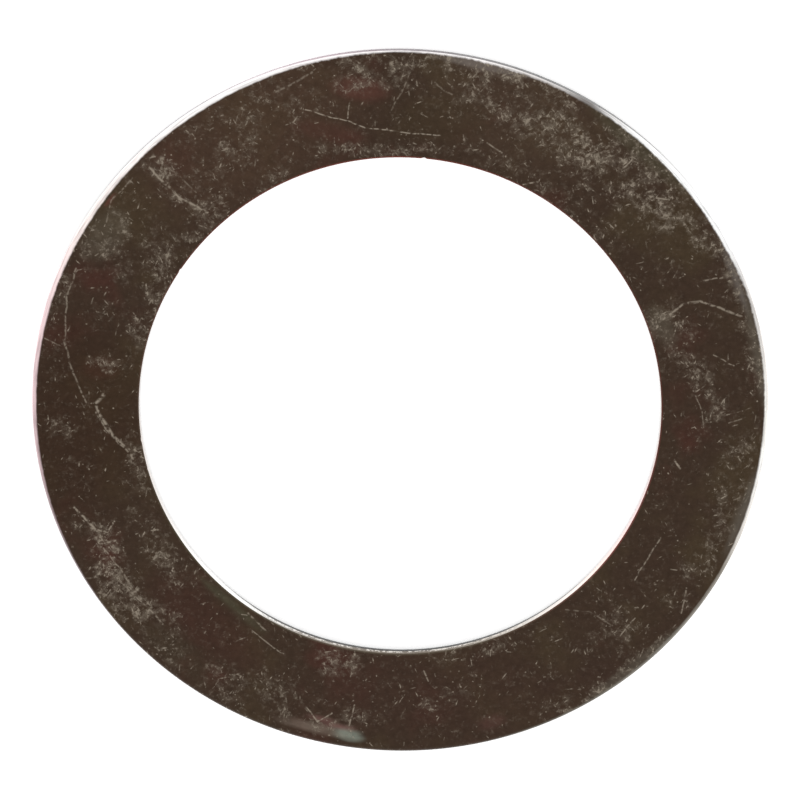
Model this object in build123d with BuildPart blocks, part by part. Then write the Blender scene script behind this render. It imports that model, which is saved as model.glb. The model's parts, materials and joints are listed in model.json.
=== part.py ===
"""A flat round washer stamped from one sheet of steel. Millimetres, +Z up.

The origin is the bore's centre on the underside, the face that the washer lies on.
Bore and outside are both cut by punches that rise from below. Each cut wall has the
three zones of a sheared edge: a corner that rolls over, a straight burnished land at
full size, and a tapered break. The bore rolls over below, where its punch goes in, and
the outside rolls over above, where the blank leaves through its die.
"""

import os

from build123d import *

# Ring
bore_diameter = 17.0
ring_width = 3.5
thickness = 0.5

# Zones of a sheared wall, as shares of the sheet's thickness
outer_roll_depth_share = 0.25
outer_roll_width_share = 0.55
bore_roll_depth_share = 0.2
bore_roll_width_share = 0.3
land_share = 0.3
die_clearance_share = 0.02
burr_rounding_share = 0.04

# Worked out from the driving sizes
bore_radius = bore_diameter / 2
outer_radius = bore_radius + ring_width
outer_roll_depth = outer_roll_depth_share * thickness
outer_roll_width = outer_roll_width_share * thickness
bore_roll_depth = bore_roll_depth_share * thickness
bore_roll_width = bore_roll_width_share * thickness
land_height = land_share * thickness
die_clearance = die_clearance_share * thickness
burr_rounding = burr_rounding_share * thickness

# Heights where one zone of a wall gives way to the next
outer_land_top = thickness - outer_roll_depth
outer_break_top = outer_land_top - land_height
bore_land_top = bore_roll_depth + land_height

os.makedirs("parts", exist_ok=True)

# Washer ring: one section, turned once round the bore's axis
with BuildPart() as washer:
    with BuildSketch(Plane.XZ) as section:
        with BuildLine():
            # The two flat faces
            underside = Line(
                (bore_radius + bore_roll_width, 0),
                (outer_radius - die_clearance, 0),
            )
            upper_face = Line(
                (bore_radius + die_clearance, thickness),
                (outer_radius - outer_roll_width, thickness),
            )
            # The outside wall: tapered break, burnished land, rolled corner
            outer_break = Line(underside @ 1, (outer_radius, outer_break_top))
            outer_land = Line(outer_break @ 1, (outer_radius, outer_land_top))
            outer_roll = TangentArc(upper_face @ 1, outer_land @ 1, tangent=(1, 0))
            # The bore wall: tapered break, burnished land, rolled corner
            bore_break = Line(upper_face @ 0, (bore_radius, bore_land_top))
            bore_land = Line(bore_break @ 1, (bore_radius, bore_roll_depth))
            bore_roll = TangentArc(underside @ 0, bore_land @ 1, tangent=(-1, 0))
        make_face()
    revolve(axis=Axis.Z)

    # Tumbling rounds the two burred corners, where the breaks meet the flat faces
    rims = washer.edges().filter_by(GeomType.CIRCLE)
    outer_burr = rims.group_by(Axis.Z)[0].sort_by(SortBy.RADIUS)[-1]
    bore_burr = rims.group_by(Axis.Z)[-1].sort_by(SortBy.RADIUS)[0]
    fillet([outer_burr, bore_burr], radius=burr_rounding)

washer.part.label = "washer"
export_step(washer.part, "parts/washer.step")
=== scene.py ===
"""The looks of a flat washer stamped from bright plated steel sheet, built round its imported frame."""

import json
from math import atan2, cos, hypot, pi, radians, sin, tau
from types import SimpleNamespace

import bmesh
import bpy
from bpy.props import FloatProperty, FloatVectorProperty, IntProperty, PointerProperty
from mathutils import Matrix, Vector


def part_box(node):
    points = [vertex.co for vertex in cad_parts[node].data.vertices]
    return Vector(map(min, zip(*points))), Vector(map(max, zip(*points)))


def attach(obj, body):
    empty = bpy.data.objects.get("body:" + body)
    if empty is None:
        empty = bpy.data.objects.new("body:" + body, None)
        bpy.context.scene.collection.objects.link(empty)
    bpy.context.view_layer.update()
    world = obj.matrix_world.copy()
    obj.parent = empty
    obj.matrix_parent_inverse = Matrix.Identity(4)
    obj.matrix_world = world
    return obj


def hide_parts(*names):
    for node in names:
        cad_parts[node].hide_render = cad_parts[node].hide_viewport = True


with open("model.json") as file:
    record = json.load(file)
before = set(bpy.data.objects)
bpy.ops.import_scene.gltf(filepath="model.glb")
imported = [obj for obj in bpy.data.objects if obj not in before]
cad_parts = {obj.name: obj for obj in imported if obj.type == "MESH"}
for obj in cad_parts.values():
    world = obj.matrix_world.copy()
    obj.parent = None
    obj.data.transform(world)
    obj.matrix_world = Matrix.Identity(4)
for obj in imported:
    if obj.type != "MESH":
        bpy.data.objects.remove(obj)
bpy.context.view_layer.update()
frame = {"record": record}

bl_info = {
    "name": "Stamped Flat Washer",
    "version": (1, 0, 0),
    "blender": (4, 5, 0),
    "location": "View3D > Sidebar > Washer",
    "description": "Builds a stamped flat washer with its plated finish and a plain stage",
    "category": "Object",
}

MM = 0.001
NODE = "washer"
SEAM_GAP = 1e-7
LOWEST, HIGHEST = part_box(NODE)
BORE_DIMS = next(m["dims"] for m in frame["record"]["mounts"] if m["name"] == "bore")

# The photograph's frame, and the pixel that the lens looks at
FRAME_PX = 800
CENTRE_PX = FRAME_PX / 2

# Kinds of socket that a node group takes
NUMBER = "NodeSocketFloat"
VECTOR = "NodeSocketVector"

# Marks on the upper face, by where each shows in the frame. A place has its middle in
# pixels, its half length and half breadth in millimetres, the heading of its length in
# degrees from +X, and how strong it is
SCUFFED_PLACES = {
    "upper_right_first": ((540, 110), 1.6, 1.0, -30, 0.9),
    "upper_right_second": ((582, 152), 1.5, 0.8, -50, 0.85),
    "upper_right_third": ((640, 192), 1.6, 0.9, -50, 0.8),
    "upper_right_fourth": ((682, 214), 0.7, 0.4, -30, 0.8),
    "upper_right_rim": ((640, 148), 2.2, 0.4, -42, 0.6),
    "upper_right_bore": ((545, 195), 2.4, 0.5, -35, 0.4),
    "right_top": ((712, 240), 1.4, 0.6, -58, 0.75),
    "right_rim": ((753, 340), 2.4, 0.35, -78, 0.65),
    "right_rim_top": ((736, 282), 1.2, 0.22, -68, 0.85),
    "right_bore_side": ((670, 334), 1.0, 0.6, -60, 1.0),
    "right_bore_knot": ((672, 338), 0.6, 0.4, -60, 0.6),
    "right_bore_trail": ((700, 375), 1.6, 0.3, -60, 0.5),
    "right_middle": ((712, 405), 1.6, 0.5, -75, 0.25),
    "right_lower_rim": ((735, 480), 1.8, 0.5, 75, 0.4),
    "top_rim": ((390, 63), 3.8, 0.28, 0, 0.75),
    "top_band": ((380, 82), 1.8, 0.35, 3, 0.6),
    "top_rim_right": ((489, 69), 1.8, 0.22, -12, 0.85),
    "top_left": ((238, 134), 2.6, 1.2, 35, 0.3),
    "top_right": ((495, 95), 1.3, 0.7, -15, 0.6),
    "top_dots": ((455, 112), 0.5, 0.25, 80, 0.5),
    "bore_top": ((390, 150), 3.4, 0.25, 0, 0.5),
    "bore_top_left": ((270, 180), 2.2, 0.3, 32, 0.4),
    "upper_left": ((182, 190), 1.5, 0.45, -50, 0.6),
    "upper_left_smear": ((156, 166), 0.5, 0.38, -50, 0.9),
    "upper_left_haze": ((108, 236), 0.9, 0.6, 60, 0.8),
    "upper_left_middle": ((140, 262), 1.2, 0.8, 60, 0.35),
    "upper_left_bore": ((186, 240), 1.8, 0.4, 52, 0.45),
    "left_inner": ((146, 320), 1.6, 0.45, 70, 0.5),
    "left_rim": ((72, 262), 2.0, 0.4, 70, 0.35),
    "left_middle": ((102, 362), 0.6, 0.3, -30, 0.55),
    "left_low": ((60, 432), 1.0, 0.35, -70, 0.5),
    "left_bore_side": ((136, 455), 1.4, 0.25, -78, 0.5),
    "lower_left_smear": ((96, 533), 1.1, 0.4, -45, 0.9),
    "lower_left_middle": ((120, 588), 1.5, 0.7, -50, 0.92),
    "lower_left_low": ((150, 620), 1.2, 0.6, -30, 0.85),
    "lower_left_bore": ((158, 550), 1.7, 0.5, -60, 0.6),
    "lower_left_trail": ((192, 668), 1.6, 0.5, -40, 0.35),
    "bottom_left": ((262, 690), 1.6, 0.7, -20, 0.42),
    "bottom_spot": ((339, 663), 0.7, 0.5, 0, 0.9),
    "bottom": ((330, 712), 1.6, 0.5, -8, 0.45),
    "bottom_middle": ((440, 698), 0.9, 0.35, 20, 0.45),
    "bottom_bore": ((470, 652), 1.8, 0.25, 12, 0.5),
    "bottom_right": ((570, 703), 1.4, 0.4, 25, 0.35),
    "lower_right_rim": ((630, 672), 2.2, 0.35, 38, 0.85),
    "lower_right": ((612, 635), 1.2, 0.6, 50, 0.42),
    "bottom_stain": ((336, 730), 0.9, 0.25, -14, 0.7),
    "right_low": ((695, 570), 1.6, 0.5, 60, 0.4),
}
EVERYWHERE_SCUFFED = 0.17
UNDERSIDE_SCUFFED = 0.3

# How far a place reaches, and over how much of that it fades, in shares of its half size
PLACE_REACH = 1.4
PLACE_FADE = 0.9

# Places where the plating has a colour of its own, told in the same way, with the colour. The pale and
# grey places along the rim are painted highlights, and the light and glow places near the top are a
# painted lighter reflection
COLOURED_AND_SHEEN_PLACES = {
    # The next two are a painted lighter reflection near the top
    "upper_left_light": ((250, 130), 4.0, 2.2, 30, 0.5, "#4b392e"),
    "upper_right_light": ((520, 110), 3.0, 2.0, -25, 0.4, "#4a3b30"),
    "left_dark": ((80, 420), 3.4, 2.2, 85, 0.6, "#37281f"),
    "bottom_warm": ((430, 690), 4.0, 1.6, 0, 0.4, "#3f2e27"),
    "lower_left_warm": ((206, 622), 2.3, 0.8, -42, 0.45, "#422b25"),
    "bottom_right_dark": ((572, 698), 2.4, 1.1, 25, 0.5, "#3b2c26"),
    # The next two are a painted lighter reflection near the top
    "top_glow": ((360, 89), 0.9, 0.4, -8, 0.5, "#5b3932"),
    "top_glow_low": ((330, 132), 1.2, 0.3, -10, 0.35, "#50332c"),
    "top_olive": ((440, 118), 1.6, 0.8, 0, 0.35, "#413627"),
    "upper_left_green": ((106, 234), 0.9, 0.55, 55, 0.4, "#585044"),
    "upper_left_red": ((110, 201), 0.3, 0.08, 55, 0.5, "#6c3a34"),
    "upper_right_green": ((640, 146), 2.2, 0.35, -42, 0.45, "#4d4a3a"),
    "right_bore_green": ((662, 326), 0.7, 0.35, -60, 0.4, "#5e574b"),
    "left_red": ((100, 368), 0.6, 0.4, 0, 0.25, "#4a2c25"),
    "bore_edge_olive": ((230, 603), 1.4, 0.15, -42, 0.55, "#4c4a3a"),
    "lower_left_olive": ((180, 655), 1.4, 0.5, -40, 0.15, "#444031"),
    "bottom_stain": ((348, 735), 0.5, 0.2, -14, 0.85, "#7b8176"),
    "bottom_stain_tail": ((312, 727), 1.1, 0.12, -14, 0.6, "#77695e"),
    "bottom_stain_edge": ((330, 723), 0.8, 0.08, -16, 0.6, "#83605b"),
    "bottom_pink": ((492, 722), 0.45, 0.25, 20, 0.45, "#553c36"),
    # From here to the end, painted highlights along the rim
    "lower_right_grey": ((640, 662), 2.4, 0.2, 40, 0.35, "#5f5a50"),
    "right_rim_grey": ((757, 345), 2.2, 0.22, -80, 0.5, "#5f594e"),
    "right_low_grey": ((742, 512), 1.5, 0.15, 71, 0.4, "#6f6a62"),
    "right_rim_pale": ((735, 278), 1.1, 0.13, -70, 0.3, "#8a8580"),
    "top_rim_pale": ((489, 67), 1.7, 0.14, -12, 0.3, "#968f89"),
}

# Single scratches: half width in millimetres, brightness, and the pixels that it joins
SCRATCHES = {
    "top_hairline": (0.018, 0.8, (305, 110), (350, 122), (365, 128), (400, 132), (440, 135)),
    "top_diagonal": (0.02, 0.4, (410, 73), (400, 96), (390, 112)),
    "top_left_arc": (0.03, 0.4, (276, 92), (299, 80), (312, 72)),
    "top_tick": (0.018, 0.7, (350, 103), (347, 118)),
    "top_short": (0.026, 0.35, (434, 82), (452, 94)),
    "upper_left_first": (0.032, 0.75, (150, 168), (166, 184), (180, 198), (207, 212)),
    "upper_left_beside": (0.02, 0.35, (160, 162), (180, 176), (196, 192)),
    "upper_left_rim": (0.022, 0.45, (133, 178), (112, 200), (106, 222)),
    "left_upright": (0.024, 0.5, (76, 268), (67, 297), (65, 340), (69, 362), (78, 385), (88, 405)),
    "left_crossing": (0.02, 0.5, (45, 338), (62, 346)),
    "left_curve": (0.042, 0.75, (104, 395), (96, 403), (99, 414), (113, 436), (134, 452)),
    "left_curve_beside": (0.026, 0.6, (96, 412), (106, 430), (128, 451)),
    "lower_left_smear": (0.032, 0.75, (74, 507), (86, 520), (102, 536)),
    "lower_left_hook": (0.024, 0.7, (90, 528), (108, 532), (113, 523)),
    "lower_left_crossing": (0.022, 0.55, (104, 548), (122, 572), (140, 598)),
    "lower_left_long": (0.024, 0.55, (128, 589), (146, 606), (163, 624)),
    "bore_side_first": (0.024, 0.55, (248, 614), (266, 630)),
    "bore_side_second": (0.018, 0.6, (251, 629), (268, 643), (283, 654)),
    "bottom_slash": (0.022, 0.7, (354, 705), (350, 725)),
    "bottom_hook": (0.022, 0.75, (309, 711), (318, 722), (332, 713)),
    "bottom_tick": (0.022, 0.6, (424, 671), (428, 681)),
    "right_curve": (0.03, 0.65, (664, 319), (682, 305), (701, 301), (720, 308), (741, 317)),
    "right_dash_first": (0.02, 0.6, (704, 281), (716, 278)),
    "right_dash_second": (0.02, 0.6, (719, 278), (728, 276)),
    "right_short": (0.018, 0.55, (713, 355), (724, 361), (734, 366)),
    "right_wave": (0.018, 0.45, (695, 395), (702, 411), (704, 430)),
    "right_pair_first": (0.018, 0.55, (727, 415), (742, 411)),
    "right_pair_second": (0.018, 0.4, (729, 423), (745, 418)),
    "right_lone": (0.026, 0.9, (674, 460), (680, 468)),
    "right_long": (0.02, 0.6, (660, 538), (648, 558), (634, 581)),
    "right_low_upright": (0.022, 0.6, (686, 588), (682, 613)),
    "lower_right_dash": (0.02, 0.65, (634, 618), (620, 636)),
    "lower_right_arc": (0.022, 0.35, (565, 610), (590, 612), (612, 625)),
    "upper_right_slash": (0.024, 0.75, (617, 172), (624, 168), (632, 160)),
    "upper_right_tick": (0.022, 0.6, (487, 143), (502, 153)),
    "upper_right_bore_dash": (0.02, 0.8, (523, 184), (537, 182)),
    "upper_right_bar": (0.022, 0.7, (650, 196), (669, 199)),
}

# Nicks in the two edges: where each shows, its radius and its depth in millimetres
NICKS = {
    "bore_top": ((424, 158), 0.12, 0.043),
    "bore_upper_left": ((181, 271), 0.11, 0.032),
    "bore_left_first": ((140, 440), 0.13, 0.027),
    "bore_left_second": ((146, 470), 0.11, 0.027),
    "outer_upper_right_first": ((577, 99), 0.13, 0.037),
    "outer_upper_right_second": ((586, 103), 0.10, 0.032),
    "outer_lower_left": ((128, 628), 0.16, 0.032),
}

# Painted highlight round the rim: its tones by azimuth in degrees from +X, bright where the rim faces
# the light and dark where it is in shade, with the width in millimetres of the roll that takes each tone
RIM_HIGHLIGHT_TONES = (
    (0, "#f4f1ec", 0.17),
    (10, "#d8d4d0", 0.15),
    (20, "#d2cecb", 0.12),
    (28, "#f0f0f0", 0.18),
    (42, "#ffffff", 0.17),
    (50, "#f8f8f8", 0.14),
    (56, "#dcdad9", 0.12),
    (59, "#827e7c", 0.13),
    (61, "#827e7c", 0.13),
    (64, "#c4c0be", 0.10),
    (72, "#dfdbd9", 0.09),
    (80, "#f2eeed", 0.07),
    (90, "#f1ecec", 0.05),
    (104, "#f2edec", 0.09),
    (120, "#fbf8f7", 0.15),
    (148, "#fdf0ec", 0.2),
    (164, "#ecd2d4", 0.18),
    (182, "#d4babd", 0.17),
    (196, "#a08e90", 0.12),
    (212, "#857a7c", 0.07),
    (232, "#50453d", 0.05),
    (270, "#2f2821", 0.05),
    (298, "#5e584e", 0.12),
    (318, "#77726a", 0.16),
    (332, "#8a847b", 0.15),
    (341, "#e2ddd7", 0.16),
    (350, "#f8f6f3", 0.18),
    (360, "#f4f1ec", 0.17),
)

# Painted light and shade on the torn part below the outside's land: its tones by azimuth, with its
# height in millimetres
BREAK_LIGHT_AND_SHADE_TONES = (
    (0, "#dcd8d6", 0.2),
    (22, "#cfcccb", 0.15),
    (36, "#a9a6a6", 0.13),
    (46, "#5a5657", 0.19),
    (54, "#363233", 0.3),
    (66, "#2c282a", 0.33),
    (80, "#453b40", 0.3),
    (92, "#6f5a65", 0.28),
    (102, "#a88a96", 0.25),
    (114, "#c4b4ba", 0.2),
    (126, "#858184", 0.2),
    (138, "#55555a", 0.24),
    (150, "#55565a", 0.25),
    (162, "#a0a4a8", 0.24),
    (180, "#d9e2e6", 0.24),
    (198, "#a9a3a8", 0.2),
    (225, "#6b6468", 0.2),
    (320, "#6b645c", 0.2),
    (345, "#b9b3ae", 0.2),
    (360, "#dcd8d6", 0.2),
)

# Painted light and shade of the bore's wall: its bright painted reflection by azimuth, with how high and
# dull its dark parts of painted shade are, from 0 to 1
BORE_WALL_LIGHT_AND_SHADE_TONES = (
    (0, "#c9bcb4", 0.0),
    (180, "#c9bfb8", 0.0),
    (224, "#fbf9f8", 0.1),
    (234, "#fbfaf8", 0.6),
    (240, "#f6f4f1", 0.92),
    (250, "#ebe6e0", 0.97),
    (264, "#e2dcd4", 1.0),
    (278, "#e2dcd4", 1.0),
    (290, "#ddd5cb", 0.95),
    (302, "#f0eae4", 0.7),
    (312, "#fdf3ee", 0.5),
    (320, "#fbe8e1", 0.1),
    (335, "#ecd3d2", 0.0),
    (360, "#c9bcb4", 0.0),
)

# Tones of the upper face right at the bore, with how strong the thin line is
BORE_EDGE_TONES = (
    (0, "#6e3b35", 0.5),
    (40, "#6a3b35", 0.5),
    (90, "#7c4038", 0.8),
    (140, "#6e4039", 0.6),
    (180, "#5a4a40", 0.5),
    (215, "#54513f", 0.6),
    (250, "#6b6657", 0.35),
    (290, "#6f6757", 0.3),
    (325, "#8a4f49", 0.6),
    (360, "#6e3b35", 0.5),
)

# Fine strokes, in crowds: heading in degrees, length and breadth in mm of the pattern's
# own grain, and a depth in the pattern that makes each crowd a different one
CROWDS = (
    (84, 0.32, 0.085, 3.1),
    (112, 0.28, 0.08, 17.7),
    (56, 0.30, 0.085, 31.3),
    (138, 0.34, 0.09, 47.9),
    (14, 0.36, 0.09, 61.7),
)

# Strewn strokes: offset, cells per mm, heading and spread in degrees, half length and
# half width in mm, and how many are struck where the plating is fully scuffed
STROKE_LAYERS = (
    ((3.1, 7.7, 0), 4.5, 80, 150, 0.14, 0.03, 0.6),
    ((11.3, 2.9, 0), 3.4, 95, 90, 0.18, 0.032, 0.5),
    ((5.9, 15.1, 0), 2.4, 40, 140, 0.26, 0.03, 0.4),
    ((17.7, 9.3, 0), 5.6, 0, 360, 0.045, 0.038, 0.8),
)

# Sizes in the plating's pattern in millimetres, and how much the mottle lightens or darkens
CLOUD_SIZE = 4
MOTTLE_SIZE = 0.25
MOTTLE = 0.16

# How strong the haze gets, and the levels of the pattern at which fine strokes come in
HAZE_MOST = 0.6
CLEAN_LEVEL = 0.76
RUBBED_LEVEL = 0.58
CROWD_EDGE = 0.1

# How much strokes bend in millimetres, and how bright the fine and the faintest ones are
BEND = 0.14
FINE_BRIGHTNESS = 0.6
FAINTEST_STROKE = 0.35

# The line of the upper face at the bore: how far from the bore it is full, and gone, in mm
BORE_LINE_FULL = 0.04
BORE_LINE_GONE = 0.07

# The rim's painted highlight, in mm: how softly its tone starts, and how ragged and how speckled its
# start is
RIM_FADE = 0.07
RAGGEDNESS = 0.05
SPECK_SHIFT = 0.08

# Streaks in the rim's painted highlight: how many to a turn, and to the millimetre across it and down it
RIM_HIGHLIGHT_STREAKS = (90, 16, 16)

# Heights on the two walls in mm: how softly the outside's torn part ends, how high the painted shade
# line of the bore's lower corner is at least and how much it gains where the wall's painted shade is
# darkest, how softly it ends, and where the bore's torn part starts and is full
TORN_FADE = 0.015
CORNER_LINE_LEAST = 0.08
CORNER_LINE_RISE = 0.19
CORNER_FADE = 0.02
BORE_TEAR_START = 0.36
BORE_TEAR_FULL = 0.42

# How steeply the bore's dull parts give way where its wall's painted shade is lighter
DULL_POWER = 5.0


def srgb(code):
    """Turns an sRGB hex colour into the linear values that Blender mixes."""
    parts = [int(code[i : i + 2], 16) / 255 for i in (1, 3, 5)]
    return [c / 12.92 if c <= 0.04045 else ((c + 0.055) / 1.055) ** 2.4 for c in parts]


def length_property(name, description, default):
    """A length that a user may change, kept in metres."""
    return FloatProperty(
        name=name, description=description, default=default, min=0, unit="LENGTH", precision=5
    )


def colour_property(name, description, code):
    """A colour that a user may change."""
    return FloatVectorProperty(
        name=name, description=description, default=srgb(code), min=0, max=1, subtype="COLOR"
    )


class WasherSizes(bpy.types.PropertyGroup):
    """Sizes of the ring's section and how finely it is turned."""

    bore_radius: length_property(
        "Bore radius", "Radius of the bore's straight land", BORE_DIMS["r_mm"] * MM
    )
    outer_radius: length_property(
        "Outer radius", "Radius of the outside's straight land", HIGHEST.x
    )
    thickness: length_property(
        "Thickness", "Thickness of the sheet", HIGHEST.z - LOWEST.z
    )
    outer_roll_width: length_property(
        "Outer roll width", "How far the outer upper corner rolls over inwards", 0.275 * MM
    )
    outer_roll_depth: length_property(
        "Outer roll depth", "How far the outer upper corner rolls over downwards", 0.125 * MM
    )
    bore_roll_width: length_property(
        "Bore roll width", "How far the bore's lower corner rolls over outwards", 0.15 * MM
    )
    bore_roll_depth: length_property(
        "Bore roll depth", "How far the bore's lower corner rolls over upwards", 0.1 * MM
    )
    land_height: length_property(
        "Land height", "Height of the burnished land of either wall", 0.15 * MM
    )
    break_taper: length_property(
        "Break taper", "How far the torn part of a wall leans away from its land", 0.01 * MM
    )
    corner_rounding: length_property(
        "Corner rounding", "Rounding that tumbling leaves on the burred corners", 0.02 * MM
    )
    land_blend: length_property(
        "Land blend", "Rounding where a rolled corner runs into its land", 0.015 * MM
    )
    wedges: IntProperty(
        name="Wedges", description="Equal wedges that make up one turn", default=36, min=3
    )
    wedge_steps: IntProperty(
        name="Wedge steps", description="Steps of the section in one wedge", default=40, min=1
    )
    face_rings: IntProperty(
        name="Face rings", description="Rings across the upper face", default=22, min=1
    )
    underside_rings: IntProperty(
        name="Underside rings", description="Rings across the underside", default=8, min=1
    )
    roll_steps: IntProperty(
        name="Roll steps", description="Steps along a rolled corner", default=8, min=2
    )


class WasherFinish(bpy.types.PropertyGroup):
    """Colours of the plated steel, with the painted reflection of its face and the painted shade of the
    bore's lower corner.
    """

    # The face colour is a painted reflection: bright plating that mirrors a dark room, painted dark
    # brown
    face: colour_property("Face", "Bright plating that mirrors a dark room", "#3d3027")
    olive: colour_property("Olive", "Plating with an olive cast", "#423629")
    maroon: colour_property("Maroon", "Plating with a maroon cast", "#452e27")
    haze: colour_property("Haze", "Plating dulled by fine rubbing", "#6d6357")
    scratch: colour_property("Scratch", "Bottom of a fresh scratch", "#9a8f80")
    # The lower corner's colour is painted shade: the dark line where the bore's rolled corner turns
    # under
    corner: colour_property("Lower corner", "Rolled lower corner of the bore", "#2e2d2b")
    roughness: FloatProperty(
        name="Roughness", description="Roughness of clean plating", default=0.2, min=0, max=1
    )
    worn_roughness: FloatProperty(
        name="Worn roughness", description="Roughness of rubbed plating", default=0.42, min=0, max=1
    )
    grain_depth: length_property(
        "Grain depth", "How deep the grain of the rubbed plating is", 0.004 * MM
    )


class WasherStudio(bpy.types.PropertyGroup):
    """Camera, floor and light."""

    camera_distance: length_property(
        "Camera distance", "From the lens to the washer's middle", 180 * MM
    )
    camera_tilt: FloatProperty(
        name="Camera tilt", description="Lean of the view from straight above",
        default=radians(18.241), subtype="ANGLE",
    )
    camera_heading: FloatProperty(
        name="Camera heading", description="Side that the camera stands on, from +X",
        default=radians(86.875), subtype="ANGLE",
    )
    aim_x: FloatProperty(
        name="Aim X", description="Where the lens looks", default=-0.005 * MM, unit="LENGTH", precision=6
    )
    aim_y: FloatProperty(
        name="Aim Y", description="Where the lens looks", default=0.161 * MM, unit="LENGTH", precision=6
    )
    focal_px: FloatProperty(
        name="Focal length", description="Focal length in pixels of the frame", default=5512.4
    )
    sensor: FloatProperty(
        name="Sensor", description="Width of the sensor in millimetres", default=36.0
    )
    floor_size: length_property("Floor size", "Side of the square floor", 3.0)
    floor_gap: length_property(
        "Floor gap", "A hair's breadth that keeps the floor clear of the underside", 0.02 * MM
    )
    floor_colour: colour_property("Floor", "Matt white card", "#f4f4f4")
    floor_glow: FloatProperty(
        name="Floor glow", description="White that the camera and the metal see on the floor",
        default=0.45, min=0,
    )
    light: FloatProperty(
        name="Light", description="Strength of the soft light from all round", default=1.0, min=0
    )


def camera_axes(studio):
    """Where the camera stands, and its right, up and forward directions."""
    flat = Vector((cos(studio.camera_heading), sin(studio.camera_heading), 0))
    lean = flat * sin(studio.camera_tilt) + Vector((0, 0, cos(studio.camera_tilt)))
    place = lean * studio.camera_distance
    forward = (Vector((studio.aim_x, studio.aim_y, 0)) - place).normalized()
    right = forward.cross(Vector((0, 1, 0))).normalized()
    return place, right, right.cross(forward), forward


def on_upper_face(pixel):
    """The point of the upper face that shows at a pixel of the frame."""
    scene = bpy.context.scene
    studio = scene.washer_studio
    place, right, up, forward = camera_axes(studio)
    ray = (
        forward * studio.focal_px
        + right * (pixel[0] - CENTRE_PX)
        + up * (CENTRE_PX - pixel[1])
    )
    return place + ray * ((scene.washer_sizes.thickness - place.z) / ray.z)


def draw_to(bm, vert, x, z):
    """Extrudes a point of the section to the next one."""
    new = bmesh.ops.extrude_vert_indiv(bm, verts=[vert])["verts"][0]
    new.co = (x, 0, z)
    return new


def draw_flat(bm, vert, x, rings):
    """Extrudes a point of the section along a flat face, in equal rings."""
    start, z = vert.co.x, vert.co.z
    for ring in range(1, rings + 1):
        share = ring / rings
        vert = draw_to(bm, vert, start * (1 - share) + x * share, z)
    return vert


def draw_roll(bm, vert, end, centre, steps):
    """Turns a point of the section along a rolled corner, to its end."""
    start_angle = atan2(vert.co.z - centre[1], vert.co.x - centre[0])
    end_angle = atan2(end[1] - centre[1], end[0] - centre[0])
    turn = (start_angle - end_angle + pi) % tau - pi
    spun = bmesh.ops.spin(
        bm, geom=[vert], cent=(centre[0], 0, centre[1]), axis=(0, 1, 0), angle=turn, steps=steps,
        use_merge=False, use_duplicate=False,
    )
    return [v for v in spun["geom_last"] if isinstance(v, bmesh.types.BMVert)][0]


def roll_radius(width, depth):
    """Radius of a rolled corner that runs tangent out of the flat face."""
    return (width**2 + depth**2) / (2 * depth)


def draw_section(bm, sizes):
    """The washer's section: one closed line, with its two rolled corners."""
    bore, outer, top = sizes.bore_radius, sizes.outer_radius, sizes.thickness
    taper = sizes.break_taper
    outer_land_top = top - sizes.outer_roll_depth
    bore_land_top = sizes.bore_roll_depth + sizes.land_height

    # Upper face, outer roll, outer land, outer break
    roll_start = outer - sizes.outer_roll_width
    centre = (roll_start, top - roll_radius(sizes.outer_roll_width, sizes.outer_roll_depth))
    burr_top = bm.verts.new((bore + taper, 0, top))
    point = draw_flat(bm, burr_top, roll_start, sizes.face_rings)
    outer_corner = draw_roll(bm, point, (outer, outer_land_top), centre, sizes.roll_steps)
    point = draw_to(bm, outer_corner, outer, outer_land_top - sizes.land_height)
    burr_bottom = draw_to(bm, point, outer - taper, 0)

    # Underside, bore roll, bore land, bore break
    roll_start = bore + sizes.bore_roll_width
    centre = (roll_start, roll_radius(sizes.bore_roll_width, sizes.bore_roll_depth))
    point = draw_flat(bm, burr_bottom, roll_start, sizes.underside_rings)
    bore_corner = draw_roll(bm, point, (bore, sizes.bore_roll_depth), centre, sizes.roll_steps)
    point = draw_to(bm, bore_corner, bore, bore_land_top)
    bm.edges.new((point, burr_top))

    # The burred corners are rounded, and the rolls run softly into their lands
    for verts, offset in (
        ([burr_top, burr_bottom], sizes.corner_rounding),
        ([outer_corner, bore_corner], sizes.land_blend),
    ):
        bmesh.ops.bevel(
            bm, geom=verts, offset=offset, offset_type="OFFSET", affect="VERTICES",
            segments=3, profile=0.5, material=-1,
        )


def order_faces(bm):
    """Puts the faces in order by their three lowest corners, since spins make them in no fixed one."""
    bm.verts.index_update()
    count = len(bm.verts)

    def rank(face):
        first, second, third = sorted(vert.index for vert in face.verts)[:3]
        return (first * count + second) * count + third

    bm.faces.sort(key=rank)


def press_nick(bm, place, radius, depth, sizes):
    """Pushes the nearer edge of the ring into its metal at one place."""
    middle = (sizes.bore_radius + sizes.outer_radius) / 2
    inward = -1 if hypot(place.x, place.y) > middle else 1
    for vert in bm.verts:
        gap = (vert.co - place).length
        if gap < radius:
            share = cos(gap / radius * pi / 2) ** 2
            out = Vector((vert.co.x, vert.co.y, 0)).normalized()
            vert.co += out * (inward * depth * share)


def cover(point, place):
    """How strongly one place of the upper face covers a point, from 0 to 1."""
    middle, half_long, half_broad, heading, strength = place
    dx, dy = point.x - middle.x, point.y - middle.y
    if abs(dx) + abs(dy) > 2 * half_long:
        # Too far off to be reached
        return 0.0
    along = (dx * cos(heading) + dy * sin(heading)) / half_long
    across = (dy * cos(heading) - dx * sin(heading)) / half_broad
    fade = min(1.0, max(0.0, (PLACE_REACH - hypot(along, across)) / PLACE_FADE))
    return strength * fade * fade * (3 - 2 * fade)


def laid_out(pixel, half_long, half_broad, heading, strength):
    """A place on the upper face, in metres and radians."""
    return on_upper_face(pixel), half_long * MM, half_broad * MM, radians(heading), strength


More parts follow.
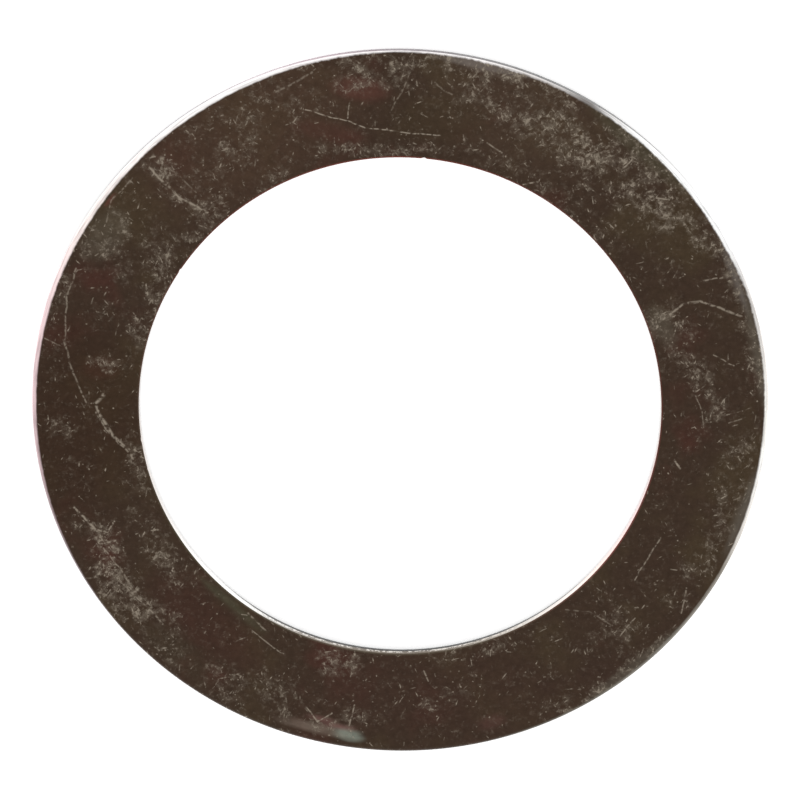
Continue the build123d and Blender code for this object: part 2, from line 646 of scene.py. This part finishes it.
def paint_face(mesh, sizes):
    """Stores on each vertex how scuffed the plating is, and the colour of its own, which takes in
    painted highlights along the rim and a painted lighter reflection near the top.
    """
    scuffs = [laid_out(*place) for place in SCUFFED_PLACES.values()]
    tints_and_sheens = [(laid_out(*place), srgb(code)) for *place, code in COLOURED_AND_SHEEN_PLACES.values()]
    wear = mesh.attributes.new("wear", "FLOAT", "POINT")
    tint_and_sheen = mesh.attributes.new("tint_and_sheen", "FLOAT_COLOR", "POINT")
    for vert, worn, own in zip(mesh.vertices, wear.data, tint_and_sheen.data):
        if vert.co.z < sizes.thickness / 2:
            worn.value = UNDERSIDE_SCUFFED
            own.color = (0, 0, 0, 0)
            continue
        clear = 1 - EVERYWHERE_SCUFFED
        for place in scuffs:
            clear *= 1 - cover(vert.co, place)
        worn.value = 1 - clear
        paint = [0, 0, 0, 0]
        for place, colour in tints_and_sheens:
            share = cover(vert.co, place)
            paint = [p * (1 - share) + c * share for p, c in zip(paint, (*colour, 1))]
        own.color = paint


def add_node(tree, kind, inputs=None, **settings):
    """Adds one node with its settings, and fills its inputs with values or links."""
    node = tree.nodes.new(kind)
    for name, value in settings.items():
        setattr(node, name, value)
    for key, value in (inputs or {}).items():
        if isinstance(value, bpy.types.NodeSocket):
            tree.links.new(value, node.inputs[key])
        else:
            node.inputs[key].default_value = value
    return node


def calc(tree, operation, *values):
    """One step of arithmetic on numbers."""
    return add_node(tree, "ShaderNodeMath", dict(enumerate(values)), operation=operation).outputs[0]


def calc_vector(tree, operation, *values, output=0):
    """One step of arithmetic on vectors, or on colours taken as vectors."""
    inputs = dict(enumerate(values))
    return add_node(tree, "ShaderNodeVectorMath", inputs, operation=operation).outputs[output]


def scaled(tree, vector, factor):
    """A vector, or a colour, times a number."""
    inputs = {0: vector, "Scale": factor}
    return add_node(tree, "ShaderNodeVectorMath", inputs, operation="SCALE").outputs[0]


def turned(tree, vector, angle):
    """A vector turned round +Z."""
    inputs = {"Vector": vector, "Angle": angle}
    return add_node(tree, "ShaderNodeVectorRotate", inputs, rotation_type="Z_AXIS").outputs[0]


def noise(tree, place, scale, detail, roughness=0.5, distortion=0.0, output=0):
    """A cloudy pattern, with its scale in waves to the unit of its place."""
    inputs = {
        "Vector": place,
        "Scale": scale,
        "Detail": detail,
        "Roughness": roughness,
        "Distortion": distortion,
    }
    return add_node(tree, "ShaderNodeTexNoise", inputs).outputs[output]


def ranged(tree, value, start, end, low=0.0, high=1.0):
    """Goes straight from low to high while a value goes from its start to its end."""
    inputs = {"Value": value, "From Min": start, "From Max": end, "To Min": low, "To Max": high}
    return add_node(tree, "ShaderNodeMapRange", inputs).outputs[0]


def eased(tree, value, start, end, high=1.0):
    """Goes smoothly from 0 to high while a value goes from its start to its end."""
    inputs = {"Value": value, "From Min": start, "From Max": end, "To Max": high}
    return add_node(
        tree, "ShaderNodeMapRange", inputs, interpolation_type="SMOOTHSTEP", clamp=False
    ).outputs[0]


def mixed(tree, share, under, over):
    """One colour laid over another, by the share of the upper one."""
    inputs = {0: share, 6: under, 7: over}
    return add_node(tree, "ShaderNodeMix", inputs, data_type="RGBA").outputs[2]


def tones(tree, turn, stops):
    """The colour and the alpha that a table of tones gives at each azimuth."""
    node = add_node(tree, "ShaderNodeValToRGB", {0: turn})
    elements = node.color_ramp.elements
    while len(elements) < len(stops):
        elements.new(0)
    for element, (degrees, code, alpha) in zip(elements, stops):
        element.position = degrees / 360
        element.color = (*srgb(code), alpha)
    return node.outputs["Color"], node.outputs["Alpha"]


def new_group(name, inputs):
    """A node group that adds to the marks before it: its tree, its inputs and its output."""
    tree = bpy.data.node_groups.new(name, "ShaderNodeTree")
    for label, kind in inputs.items():
        tree.interface.new_socket(label, in_out="INPUT", socket_type=kind)
    tree.interface.new_socket("Marks", in_out="OUTPUT", socket_type=NUMBER)
    given = tree.nodes.new("NodeGroupInput").outputs
    return tree, given, tree.nodes.new("NodeGroupOutput").inputs["Marks"]


def scratch_group():
    """One straight scratch from its start along its run, added to the marks before it."""
    tree, given, result = new_group(
        "Single scratch",
        {
            "Marks": NUMBER,
            "Position": VECTOR,
            "Start": VECTOR,
            "Run": VECTOR,
            "Run per length": VECTOR,
            "Half width": NUMBER,
            "Brightness": NUMBER,
        },
    )
    from_start = calc_vector(tree, "SUBTRACT", given["Position"], given["Start"])
    share = calc_vector(tree, "DOT_PRODUCT", from_start, given["Run per length"], output="Value")
    share = calc(tree, "MAXIMUM", share, 0.0)
    share = calc(tree, "MINIMUM", share, 1.0)
    nearest = scaled(tree, given["Run"], share)
    gap = calc_vector(tree, "DISTANCE", from_start, nearest, output="Value")
    mark = eased(tree, gap, given["Half width"], 0.0, given["Brightness"])
    tree.links.new(calc(tree, "MAXIMUM", mark, given["Marks"]), result)
    return tree


def strokes_group():
    """Short straight strokes strewn over the face, one in each cell that is struck."""
    tree, given, result = new_group(
        "Strewn strokes",
        {
            "Marks": NUMBER,
            "Position": VECTOR,
            "Offset": VECTOR,
            "Cells per mm": NUMBER,
            "Heading": NUMBER,
            "Spread": NUMBER,
            "Half length": NUMBER,
            "Half width": NUMBER,
            "Struck": NUMBER,
        },
    )
    moved = calc_vector(tree, "ADD", given["Position"], given["Offset"])
    cells = add_node(
        tree, "ShaderNodeTexVoronoi",
        {"Vector": moved, "Scale": given["Cells per mm"], "Randomness": 1.0},
        voronoi_dimensions="2D", feature="F1",
    ).outputs
    from_middle = calc_vector(tree, "SUBTRACT", moved, cells["Position"])
    chance = add_node(tree, "ShaderNodeSeparateColor", {0: cells["Color"]}).outputs
    angle = calc(tree, "SUBTRACT", chance[0], 0.5)
    angle = calc(tree, "MULTIPLY_ADD", angle, given["Spread"], given["Heading"])
    laid = turned(tree, from_middle, angle)
    laid = calc_vector(tree, "ABSOLUTE", laid)
    laid = add_node(tree, "ShaderNodeSeparateXYZ", {0: laid}).outputs
    along = eased(tree, laid[0], given["Half length"], 0.0)
    across = eased(tree, laid[1], given["Half width"], 0.0)
    struck = calc(tree, "LESS_THAN", chance[1], given["Struck"])
    bright = calc(tree, "MULTIPLY_ADD", chance[2], 1 - FAINTEST_STROKE, FAINTEST_STROKE)
    mark = calc(tree, "MULTIPLY", along, across)
    mark = calc(tree, "MULTIPLY", mark, struck)
    mark = calc(tree, "MULTIPLY", mark, bright)
    tree.links.new(calc(tree, "MAXIMUM", mark, given["Marks"]), result)
    return tree


def crowd_group():
    """Fine strokes of one heading that crowd together where their level lets them in."""
    tree, given, result = new_group(
        "Crowded strokes",
        {
            "Marks": NUMBER,
            "Position": VECTOR,
            "Heading": NUMBER,
            "Grain": VECTOR,
            "Depth": VECTOR,
            "Level": NUMBER,
        },
    )
    laid = turned(tree, given["Position"], given["Heading"])
    laid = calc_vector(tree, "MULTIPLY_ADD", laid, given["Grain"], given["Depth"])
    pattern = noise(tree, laid, scale=1.0, detail=1.0, roughness=0.4)
    pattern = calc(tree, "SUBTRACT", pattern, given["Level"])
    mark = eased(tree, pattern, 0.0, CROWD_EDGE)
    tree.links.new(calc(tree, "MAXIMUM", mark, given["Marks"]), result)
    return tree


def surface_point(tree):
    """The point that is painted: in mm, its radius, its azimuth as a share of a turn, its wear."""
    place = add_node(tree, "ShaderNodeTexCoord").outputs["Object"]
    place = scaled(tree, place, 1 / MM)
    split = add_node(tree, "ShaderNodeSeparateXYZ", {0: place}).outputs
    flat = add_node(tree, "ShaderNodeCombineXYZ", {0: split[0], 1: split[1]}).outputs[0]
    radius = calc_vector(tree, "LENGTH", flat, output="Value")
    turn = calc(tree, "ARCTAN2", split[1], split[0])
    turn = calc(tree, "MULTIPLY_ADD", turn, 1 / tau, 1.0)
    turn = calc(tree, "FRACT", turn)
    wear = add_node(tree, "ShaderNodeAttribute", attribute_name="wear").outputs["Fac"]
    return SimpleNamespace(
        place=place, flat=flat, height=split[2], radius=radius, turn=turn, wear=wear
    )


def clean_plating(tree, point, finish):
    """Plating whose dark base is a painted reflection of a dark room, with clouds of olive and maroon,
    its own coloured places, among them painted highlights along the rim and a painted lighter reflection
    near the top, and a finer mottle.
    """
    cloud = noise(tree, point.flat, scale=1 / CLOUD_SIZE, detail=3.0, roughness=0.6)
    olive = eased(tree, cloud, 0.48, 0.64)
    maroon = eased(tree, cloud, 0.46, 0.3)
    colour = mixed(tree, olive, (*finish.face, 1), (*finish.olive, 1))
    colour = mixed(tree, maroon, colour, (*finish.maroon, 1))
    own = add_node(tree, "ShaderNodeAttribute", attribute_name="tint_and_sheen").outputs
    bare = calc(tree, "SUBTRACT", 1.0, own["Alpha"])
    colour = scaled(tree, colour, bare)
    colour = calc_vector(tree, "ADD", colour, own["Color"])
    mottle = noise(tree, point.flat, scale=1 / MOTTLE_SIZE, detail=4.0, roughness=0.7)
    mottle = ranged(tree, mottle, 0.3, 0.7, 1 - MOTTLE, 1 + MOTTLE)
    return scaled(tree, colour, mottle)


def rubbing(tree, point):
    """How rubbed the plating is, in feathery patches about 0.3 mm across that gather in places."""
    patchy = noise(tree, point.flat, scale=3.0, detail=5.0, roughness=0.78, distortion=0.3)
    patchy = ranged(tree, patchy, 0.4, 0.62, 0.0, 1.3)
    gathered = noise(tree, point.flat, scale=1.1, detail=2.0)
    gathered = ranged(tree, gathered, 0.4, 0.6, 0.35, 1.3)
    rubbed = calc(tree, "MULTIPLY", point.wear, patchy)
    return calc(tree, "MULTIPLY", rubbed, gathered)


def crowded_strokes(tree, bent, rubbed):
    """Fine strokes in crowds, let in where the plating is rubbed."""
    level = ranged(tree, rubbed, 0.0, 1.0, CLEAN_LEVEL, RUBBED_LEVEL)
    group = crowd_group()
    marks = 0.0
    for heading, length, breadth, depth in CROWDS:
        marks = add_node(
            tree, "ShaderNodeGroup", node_tree=group,
            inputs={
                "Marks": marks,
                "Position": bent,
                "Heading": radians(-heading),
                "Grain": (1 / length, 1 / breadth, 0),
                "Depth": (0, 0, depth),
                "Level": level,
            },
        ).outputs[0]
    return marks


def strewn_strokes(tree, bent, rubbed):
    """Strokes strewn singly, more of them where the plating is rubbed."""
    group = strokes_group()
    marks = 0.0
    for offset, cells, heading, spread, half_length, half_width, struck in STROKE_LAYERS:
        chance = calc(tree, "MULTIPLY", rubbed, struck)
        marks = add_node(
            tree, "ShaderNodeGroup", node_tree=group,
            inputs={
                "Marks": marks,
                "Position": bent,
                "Offset": offset,
                "Cells per mm": cells,
                "Heading": radians(-heading),
                "Spread": radians(spread),
                "Half length": half_length,
                "Half width": half_width,
                "Struck": chance,
            },
        ).outputs[0]
    return marks


def single_scratches(tree, point, bent, sizes):
    """The single scratches of the upper face."""
    group = scratch_group()
    marks = 0.0
    for half_width, brightness, *pixels in SCRATCHES.values():
        points = [on_upper_face(pixel) / MM for pixel in pixels]
        for start, end in zip(points, points[1:]):
            run = end - start
            marks = add_node(
                tree, "ShaderNodeGroup", node_tree=group,
                inputs={
                    "Marks": marks,
                    "Position": bent,
                    "Start": (start.x, start.y, 0),
                    "Run": (run.x, run.y, 0),
                    "Run per length": (run.x / run.length_squared, run.y / run.length_squared, 0),
                    "Half width": 2 * half_width,
                    "Brightness": brightness,
                },
            ).outputs[0]
    upper = calc(tree, "GREATER_THAN", point.height, sizes.thickness / MM / 2)
    return calc(tree, "MULTIPLY", marks, upper)


def all_marks(tree, point, rubbed, sizes):
    """Strokes, scratches and dust, bent a little and broken along their length, and the specks."""
    bend = noise(tree, point.flat, scale=1.5, detail=2.0, output="Color")
    bend = calc_vector(tree, "SUBTRACT", bend, (0.5, 0.5, 0.5))
    bent = calc_vector(tree, "MULTIPLY_ADD", bend, (BEND, BEND, 0), point.flat)
    fine = crowded_strokes(tree, bent, rubbed)
    strewn = strewn_strokes(tree, bent, rubbed)
    single = single_scratches(tree, point, bent, sizes)
    specks = noise(tree, point.place, scale=9.0, detail=2.0)
    dust = eased(tree, specks, 0.5, 0.66, rubbed)
    fine = calc(tree, "MAXIMUM", fine, dust)
    fine = calc(tree, "MULTIPLY", fine, FINE_BRIGHTNESS)
    marks = calc(tree, "MAXIMUM", single, strewn)
    marks = calc(tree, "MAXIMUM", marks, fine)
    broken = noise(tree, point.flat, scale=7.0, detail=3.0)
    broken = ranged(tree, broken, 0.41, 0.55, 0.08, 1.1)
    return calc(tree, "MULTIPLY", marks, broken), specks


def bore_line(tree, point, colour, sizes):
    """Lays on the thin coloured line of the upper face right at the bore."""
    tone, strength = tones(tree, point.turn, BORE_EDGE_TONES)
    bore = sizes.bore_radius / MM
    near = ranged(
        tree, point.radius, bore + BORE_LINE_GONE, bore + BORE_LINE_FULL, high=strength
    )
    return mixed(tree, near, colour, tone)


def painted_rim_highlight(tree, point, colour, specks, ragged, sizes):
    """Lays a painted highlight on the rolled outer corner and the land below it, bright where they face
    the light and dark where they are in shade.
    """
    shift = calc(tree, "SUBTRACT", specks, 0.5)
    shift = calc(tree, "MULTIPLY", shift, point.wear)
    shift = calc(tree, "MULTIPLY_ADD", shift, SPECK_SHIFT, ragged)
    rough_radius = calc(tree, "ADD", point.radius, shift)
    # The painted highlight's tone and width by azimuth
    tone, width = tones(tree, point.turn, RIM_HIGHLIGHT_TONES)
    start = calc(tree, "SUBTRACT", sizes.outer_radius / MM, width)
    full = calc(tree, "ADD", start, RIM_FADE)
    on_rim = eased(tree, rough_radius, start, full)
    streaks = add_node(
        tree, "ShaderNodeCombineXYZ", {0: point.turn, 1: point.radius, 2: point.height}
    ).outputs[0]
    streaks = calc_vector(tree, "MULTIPLY", streaks, RIM_HIGHLIGHT_STREAKS)
    streaks = noise(tree, streaks, scale=1.0, detail=2.0)
    streaks = ranged(tree, streaks, 0.35, 0.55, 0.8, 1.1)
    tone = scaled(tree, tone, streaks)
    return mixed(tree, on_rim, colour, tone)


def torn_wall_painted_light(tree, point, colour, ragged, sizes):
    """Lays painted light and shade on the torn part of the outside wall, and hands on the ragged height.
    """
    # Painted light and shade of the torn part by azimuth, and how high it reaches
    tone, top = tones(tree, point.turn, BREAK_LIGHT_AND_SHADE_TONES)
    rough_height = calc(tree, "ADD", point.height, ragged)
    torn = calc(tree, "SUBTRACT", top, rough_height)
    torn = ranged(tree, torn, -TORN_FADE, TORN_FADE)
    wall_start = (sizes.outer_radius - 3 * sizes.break_taper) / MM
    outside = calc(tree, "GREATER_THAN", point.radius, wall_start)
    torn = calc(tree, "MULTIPLY", torn, outside)
    return mixed(tree, torn, colour, tone), rough_height


def bore_wall_painted_light(tree, point, colour, specks, rough_height, finish, sizes):
    """Lays on the bore's wall its painted reflection, its spotted torn part and the painted shade of its
    dark rolled lower corner.
    """
    # The wall's painted reflection by azimuth, and how strong its painted shade is
    tone, dark = tones(tree, point.turn, BORE_WALL_LIGHT_AND_SHADE_TONES)
    line_top = calc(tree, "MULTIPLY_ADD", dark, CORNER_LINE_RISE, CORNER_LINE_LEAST)
    line_top = calc(tree, "SUBTRACT", line_top, rough_height)
    low = ranged(tree, line_top, -CORNER_FADE, CORNER_FADE)
    dull = ranged(tree, rough_height, BORE_TEAR_START, BORE_TEAR_FULL)
    spotted = ranged(tree, specks, 0.46, 0.52, high=0.95)
    dull = calc(tree, "MAXIMUM", dull, spotted)
    dullest = calc(tree, "POWER", dark, DULL_POWER)
    dull = calc(tree, "MULTIPLY", dull, dullest)
    wall = mixed(tree, dull, tone, (*finish.haze, 1))
    # The dark line of the rolled lower corner is painted shade
    wall = mixed(tree, low, wall, (*finish.corner, 1))
    inside = calc(
        tree, "LESS_THAN", point.radius, (sizes.bore_radius + sizes.bore_roll_width) / MM
    )
    below = ranged(
        tree, point.height, (sizes.thickness - sizes.corner_rounding / 2) / MM,
        (sizes.thickness - sizes.corner_rounding) / MM,
    )
    on_bore = calc(tree, "MULTIPLY", inside, below)
    return mixed(tree, on_bore, colour, wall)


def plated_steel(finish, sizes):
    """Bright plated steel sheet, stamped and tumbled: a dark mirror with scuffed patches, with its dark
    reflection, the rim's highlight and the walls' light and shade painted into its colour.
    """
    material = bpy.data.materials.new("bright plated steel")
    material.use_nodes = True
    tree = material.node_tree
    shader = tree.nodes["Principled BSDF"]
    shader.inputs["Metallic"].default_value = 1.0

    # The two flat faces: plating whose dark base is a painted reflection, haze where it is rubbed, and
    # marks
    point = surface_point(tree)
    colour = clean_plating(tree, point, finish)
    rubbed = rubbing(tree, point)
    haze = ranged(tree, rubbed, 0.15, 1.2, high=HAZE_MOST)
    colour = mixed(tree, haze, colour, (*finish.haze, 1))
    marks, specks = all_marks(tree, point, rubbed, sizes)
    colour = mixed(tree, marks, colour, (*finish.scratch, 1))

    # The edges, all a little ragged, with painted highlights, reflections and shade
    colour = bore_line(tree, point, colour, sizes)
    ragged = noise(tree, point.place, scale=2.6, detail=4.0)
    ragged = calc(tree, "MULTIPLY_ADD", ragged, RAGGEDNESS, -RAGGEDNESS / 2)
    colour = painted_rim_highlight(tree, point, colour, specks, ragged, sizes)
    colour, rough_height = torn_wall_painted_light(tree, point, colour, ragged, sizes)
    colour = bore_wall_painted_light(tree, point, colour, specks, rough_height, finish, sizes)
    tree.links.new(colour, shader.inputs["Base Color"])

    # Rubbed plating is rougher and has a fine grain
    worn = calc(tree, "MAXIMUM", haze, marks)
    rough = ranged(tree, worn, 0.0, 1.0, finish.roughness, finish.worn_roughness)
    tree.links.new(rough, shader.inputs["Roughness"])
    grain = noise(tree, point.flat, scale=9.0, detail=3.0, roughness=0.7)
    grain = calc(tree, "MULTIPLY", grain, point.wear)
    bump = add_node(
        tree, "ShaderNodeBump", {"Strength": 0.5, "Distance": finish.grain_depth, "Height": grain}
    ).outputs[0]
    tree.links.new(bump, shader.inputs["Normal"])
    return material


def white_card(studio):
    """Matt white card: diffuse, with a little glow that only the camera and the metal see."""
    material = bpy.data.materials.new("matt white card")
    material.use_nodes = True
    tree = material.node_tree
    shader = tree.nodes["Principled BSDF"]
    shader.inputs["Base Color"].default_value = (*studio.floor_colour, 1)
    shader.inputs["Roughness"].default_value = 0.9
    shader.inputs["Specular IOR Level"].default_value = 0.0
    shader.inputs["Emission Color"].default_value = (1, 1, 1, 1)
    ray = add_node(tree, "ShaderNodeLightPath").outputs
    seen = calc(tree, "MAXIMUM", ray["Is Camera Ray"], ray["Is Glossy Ray"])
    glow = calc(tree, "MULTIPLY", seen, studio.floor_glow)
    tree.links.new(glow, shader.inputs["Emission Strength"])

    # From below the card lets the view through, so that the underside can be looked at
    below = add_node(tree, "ShaderNodeNewGeometry").outputs["Backfacing"]
    clear = add_node(tree, "ShaderNodeBsdfTransparent").outputs[0]
    card = add_node(
        tree, "ShaderNodeMixShader", {0: below, 1: shader.outputs[0], 2: clear}
    ).outputs[0]
    tree.links.new(card, tree.nodes["Material Output"].inputs["Surface"])
    return material


class WASHER_OT_ring(bpy.types.Operator):
    """Turn the washer's section into its ring, press its nicks and give it its finish"""

    bl_idname = "washer.ring"
    bl_label = "Build ring"

    def execute(self, context):
        sizes = context.scene.washer_sizes
        bm = bmesh.new()
        draw_section(bm, sizes)
        wedge = tau / sizes.wedges
        bmesh.ops.spin(
            bm, geom=bm.verts[:] + bm.edges[:], cent=(0, 0, 0), axis=(0, 0, 1), angle=wedge,
            steps=sizes.wedge_steps, use_merge=False, use_duplicate=False,
        )
        bmesh.ops.spin(
            bm, geom=bm.verts[:] + bm.edges[:] + bm.faces[:], cent=(0, 0, 0), axis=(0, 0, 1),
            angle=tau - wedge, steps=sizes.wedges - 1, use_merge=False, use_duplicate=True,
        )
        bmesh.ops.remove_doubles(bm, verts=bm.verts[:], dist=SEAM_GAP)
        bmesh.ops.recalc_face_normals(bm, faces=bm.faces[:])
        order_faces(bm)
        for pixel, radius, depth in NICKS.values():
            press_nick(bm, on_upper_face(pixel), radius * MM, depth * MM, sizes)
        for face in bm.faces:
            face.smooth = True
        mesh = bpy.data.meshes.new("washer_ring")
        bm.to_mesh(mesh)
        bm.free()
        paint_face(mesh, sizes)
        mesh.materials.append(plated_steel(context.scene.washer_finish, sizes))
        ring = bpy.data.objects.new("washer_ring", mesh)
        context.scene.collection.objects.link(ring)
        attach(ring, "root")
        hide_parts(NODE)
        return {"FINISHED"}


class WASHER_OT_stage(bpy.types.Operator):
    """Lay the floor, set the soft light and place the camera"""

    bl_idname = "washer.stage"
    bl_label = "Build stage"

    def execute(self, context):
        scene = context.scene
        studio = scene.washer_studio

        bm = bmesh.new()
        bmesh.ops.create_grid(
            bm, x_segments=1, y_segments=1, size=studio.floor_size / 2,
            matrix=Matrix.Translation((0, 0, -studio.floor_gap)),
        )
        mesh = bpy.data.meshes.new("floor")
        bm.to_mesh(mesh)
        bm.free()
        mesh.materials.append(white_card(studio))
        floor = bpy.data.objects.new("floor", mesh)
        scene.collection.objects.link(floor)

        world = bpy.data.worlds.new("soft light")
        world.use_nodes = True
        background = world.node_tree.nodes["Background"]
        background.inputs["Color"].default_value = (1, 1, 1, 1)
        background.inputs["Strength"].default_value = studio.light
        scene.world = world

        lens = bpy.data.cameras.new("camera")
        lens.sensor_width = studio.sensor
        lens.lens = studio.focal_px / FRAME_PX * studio.sensor
        lens.clip_start = 10 * MM
        camera = bpy.data.objects.new("camera", lens)
        place, right, up, forward = camera_axes(studio)
        camera.matrix_world = Matrix.Translation(place) @ Matrix(
            (right, up, -forward)
        ).transposed().to_4x4()
        scene.collection.objects.link(camera)
        scene.camera = camera
        scene.view_settings.view_transform = "Standard"
        return {"FINISHED"}


class WASHER_PT_builder(bpy.types.Panel):
    """Sizes, finish and stage of the washer, with the buttons that build them"""

    bl_idname = "WASHER_PT_builder"
    bl_label = "Stamped Flat Washer"
    bl_space_type = "VIEW_3D"
    bl_region_type = "UI"
    bl_category = "Washer"

    def draw(self, context):
        scene = context.scene
        for title, group, operator in (
            ("Ring", scene.washer_sizes, "washer.ring"),
            ("Finish", scene.washer_finish, None),
            ("Stage", scene.washer_studio, "washer.stage"),
        ):
            box = self.layout.box()
            box.label(text=title)
            for name in group.__annotations__:
                box.prop(group, name)
            if operator:
                box.operator(operator)


CLASSES = (
    WasherSizes,
    WasherFinish,
    WasherStudio,
    WASHER_OT_ring,
    WASHER_OT_stage,
    WASHER_PT_builder,
)


def register():
    for cls in CLASSES:
        bpy.utils.register_class(cls)
    bpy.types.Scene.washer_sizes = PointerProperty(type=WasherSizes)
    bpy.types.Scene.washer_finish = PointerProperty(type=WasherFinish)
    bpy.types.Scene.washer_studio = PointerProperty(type=WasherStudio)


def unregister():
    del bpy.types.Scene.washer_studio
    del bpy.types.Scene.washer_finish
    del bpy.types.Scene.washer_sizes
    for cls in reversed(CLASSES):
        bpy.utils.unregister_class(cls)


def main():
    register()
    bpy.ops.washer.ring()
    bpy.ops.washer.stage()


if __name__ == "__main__":
    main()
